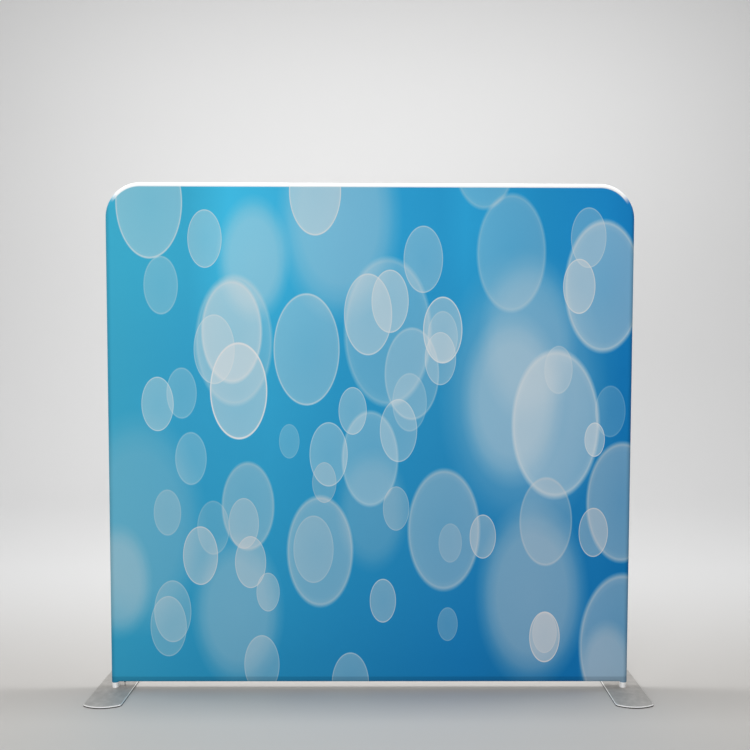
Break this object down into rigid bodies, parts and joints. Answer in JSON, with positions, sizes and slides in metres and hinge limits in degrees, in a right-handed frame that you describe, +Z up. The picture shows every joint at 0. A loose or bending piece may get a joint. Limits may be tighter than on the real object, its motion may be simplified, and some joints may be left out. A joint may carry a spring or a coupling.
{
  "type": "partition wall",
  "caption": "Free-standing tension-fabric partition wall: a printed stretch cover over a slot-together tube frame with rounded top corners, on two flat steel feet.",
  "frame": {"origin": "on the floor, under the middle of the wall", "axes": "+X along the wall, -Y out of the printed face, +Z up"},
  "size_m": [2.5348, 0.4, 2.334],
  "materials": {
    "printed_fabric": "matte",
    "white_fabric": "matte",
    "foot_steel": "satin",
    "post_chrome": "polished",
    "screw_steel": "satin",
    "tube_aluminium": "satin",
    "rivet_aluminium": "satin",
    "button_steel": "polished",
    "spring_steel": "satin",
    "zip_tape": "matte",
    "zip_chain": "satin",
    "zip_metal": "satin"
  },
  "bodies": {
    "wall": {"lower_upright_left": "tube_aluminium", "upper_upright_left": "tube_aluminium", "corner_bend_left": "tube_aluminium", "top_rail_left": "tube_aluminium", "bottom_rail_left": "tube_aluminium", "rail_stub_left": "tube_aluminium", "lower_upright_right": "tube_aluminium", "upper_upright_right": "tube_aluminium", "corner_bend_right": "tube_aluminium", "top_rail_right": "tube_aluminium", "bottom_rail_right": "tube_aluminium", "rail_stub_right": "tube_aluminium", "sleeve_left_upright": "tube_aluminium", "sleeve_right_upright": "tube_aluminium", "sleeve_left_shoulder": "tube_aluminium", "sleeve_right_shoulder": "tube_aluminium", "sleeve_left_top": "tube_aluminium", "sleeve_right_top": "tube_aluminium", "sleeve_centre_top": "tube_aluminium", "sleeve_centre_bottom": "tube_aluminium", "sleeve_rivets": "rivet_aluminium", "snap_springs": "spring_steel", "cover_front": "printed_fabric", "cover_back": "white_fabric", "zip_tape_front": "zip_tape", "zip_chain_front": "zip_chain", "zip_tape_back": "zip_tape", "zip_chain_back": "zip_chain", "zip_stops": "zip_metal"},
    "foot_left": {"foot_plate_left": "foot_steel", "foot_post_left": "post_chrome", "foot_screw_left": "screw_steel"},
    "foot_right": {"foot_plate_right": "foot_steel", "foot_post_right": "post_chrome", "foot_screw_right": "screw_steel"},
    "zip_slider": {"zip_slider": "zip_metal"},
    "zip_pull": {"zip_pull": "zip_metal"},
    "button_left_upright": {"snap_button_left_upright": "button_steel"},
    "button_right_upright": {"snap_button_right_upright": "button_steel"},
    "button_left_shoulder": {"snap_button_left_shoulder": "button_steel"},
    "button_right_shoulder": {"snap_button_right_shoulder": "button_steel"},
    "button_left_top": {"snap_button_left_top": "button_steel"},
    "button_right_top": {"snap_button_right_top": "button_steel"},
    "button_centre_top": {"snap_button_centre_top": "button_steel"},
    "button_centre_bottom": {"snap_button_centre_bottom": "button_steel"},
    "button_left_bottom": {"snap_button_left_bottom": "button_steel"},
    "button_right_bottom": {"snap_button_right_bottom": "button_steel"}
  },
  "joints": [
    {"name": "foot_swivel_left", "type": "hinge", "parent": "wall", "child": "foot_left", "pos_m": [-1.1824, 0, 0.034], "axis": [0, 0, 1], "continuous": true},
    {"name": "foot_swivel_right", "type": "hinge", "parent": "wall", "child": "foot_right", "pos_m": [1.1824, 0, 0.034], "axis": [0, 0, 1], "continuous": true},
    {"name": "zip_slide", "type": "slide", "parent": "wall", "child": "zip_slider", "axis": [1, 0, 0], "range_m": [0, 2.2808]},
    {"name": "zip_pull_swing", "type": "hinge", "parent": "zip_slider", "child": "zip_pull", "pos_m": [-1.1404, 0, 0.03], "axis": [0, 1, 0], "range_deg": [-78, 78]},
    {"name": "press_left_upright", "type": "slide", "parent": "wall", "child": "button_left_upright", "axis": [-1, 0, 0], "range_m": [0, 0.0034], "stiffness_N_per_m": 600, "springref_m": -0.006, "deforming": ["snap_springs"]},
    {"name": "press_right_upright", "type": "slide", "parent": "wall", "child": "button_right_upright", "axis": [1, 0, 0], "range_m": [0, 0.0034], "stiffness_N_per_m": 600, "springref_m": -0.006, "deforming": ["snap_springs"]},
    {"name": "press_left_shoulder", "type": "slide", "parent": "wall", "child": "button_left_shoulder", "axis": [-1, 0, 0], "range_m": [0, 0.0034], "stiffness_N_per_m": 600, "springref_m": -0.006, "deforming": ["snap_springs"]},
    {"name": "press_right_shoulder", "type": "slide", "parent": "wall", "child": "button_right_shoulder", "axis": [1, 0, 0], "range_m": [0, 0.0034], "stiffness_N_per_m": 600, "springref_m": -0.006, "deforming": ["snap_springs"]},
    {"name": "press_left_top", "type": "slide", "parent": "wall", "child": "button_left_top", "axis": [0, 0, 1], "range_m": [0, 0.0034], "stiffness_N_per_m": 600, "springref_m": -0.006, "deforming": ["snap_springs"]},
    {"name": "press_right_top", "type": "slide", "parent": "wall", "child": "button_right_top", "axis": [0, 0, 1], "range_m": [0, 0.0034], "stiffness_N_per_m": 600, "springref_m": -0.006, "deforming": ["snap_springs"]},
    {"name": "press_centre_top", "type": "slide", "parent": "wall", "child": "button_centre_top", "axis": [0, 0, 1], "range_m": [0, 0.0034], "stiffness_N_per_m": 600, "springref_m": -0.006, "deforming": ["snap_springs"]},
    {"name": "press_centre_bottom", "type": "slide", "parent": "wall", "child": "button_centre_bottom", "axis": [0, 0, -1], "range_m": [0, 0.0034], "stiffness_N_per_m": 600, "springref_m": -0.006, "deforming": ["snap_springs"]},
    {"name": "press_left_bottom", "type": "slide", "parent": "wall", "child": "button_left_bottom", "axis": [0, 0, -1], "range_m": [0, 0.0034], "stiffness_N_per_m": 600, "springref_m": -0.006, "deforming": ["snap_springs"]},
    {"name": "press_right_bottom", "type": "slide", "parent": "wall", "child": "button_right_bottom", "axis": [0, 0, -1], "range_m": [0, 0.0034], "stiffness_N_per_m": 600, "springref_m": -0.006, "deforming": ["snap_springs"]}
  ]
}
